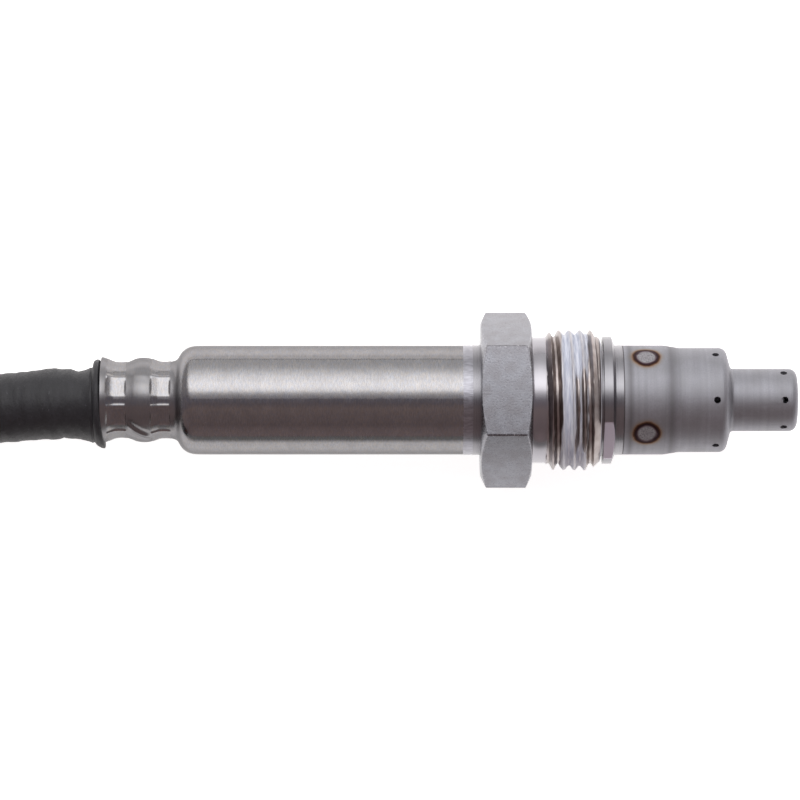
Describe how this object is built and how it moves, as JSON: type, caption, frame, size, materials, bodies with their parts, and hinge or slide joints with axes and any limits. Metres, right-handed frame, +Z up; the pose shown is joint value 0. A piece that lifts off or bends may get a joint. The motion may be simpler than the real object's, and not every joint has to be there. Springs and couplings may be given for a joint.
{
  "type": "nitrogen oxide sensor",
  "caption": "Screw-in exhaust gas sensor with a captive hex nut, a stepped protector tip with gas holes, a crimped steel tube, and a sleeved cable with a sealed plug.",
  "frame": {"origin": "on the floor, under the middle of the probe between the end of its tip and the rear end of its grommet", "axes": "+X along the probe's axis towards its tip; +Z up, square to a flat of the hex nut, which lies on the floor; +Y away from the camera of the picture"},
  "size_m": [0.2305, 0.1161, 0.0255],
  "materials": {
    "satin_steel": "satin, drawn sheet",
    "bright_steel": "turned, bright",
    "nut_steel": "cold formed, matte grey",
    "brushed_steel": "brushed around the tube",
    "spring_steel": "plain sheet",
    "ceramic": "fired, matte",
    "talc": "pressed powder",
    "wire_insulation": "extruded fluoropolymer",
    "grommet_rubber": "moulded, matte",
    "seal_rubber": "moulded silicone",
    "cable_sleeve": "extruded, matte black",
    "tie_plastic": "moulded nylon",
    "plug_plastic": "moulded glass-filled nylon"
  },
  "bodies": {
    "probe": {"outer_protector": "satin_steel", "inner_protector": "bright_steel", "metal_shell": "bright_steel", "weld_bead": "bright_steel", "rear_tube": "brushed_steel", "sensing_element": "ceramic", "front_ceramic": "ceramic", "front_talc": "talc", "middle_ceramic": "ceramic", "rear_talc": "talc", "rear_ceramic": "ceramic", "packing_ring": "bright_steel", "contact_holder": "ceramic", "holder_clip": "spring_steel", "contact_springs": "spring_steel", "wire_crimps": "spring_steel", "lead_wires": "wire_insulation", "grommet": "grommet_rubber", "sleeve_end": "cable_sleeve", "cable_run": "cable_sleeve", "cable_coil": "cable_sleeve", "cable_tail": "cable_sleeve", "coil_ties": "tie_plastic", "plug_housing": "plug_plastic", "plug_seal": "seal_rubber", "plug_terminals": "spring_steel", "plug_cap": "plug_plastic"},
    "nut": {"union_nut": "nut_steel"}
  },
  "joints": [
    {"name": "nut_spin", "type": "hinge", "parent": "probe", "child": "nut", "pos_m": [0.0195, 0, 0.011], "axis": [1, 0, 0], "continuous": true}
  ]
}
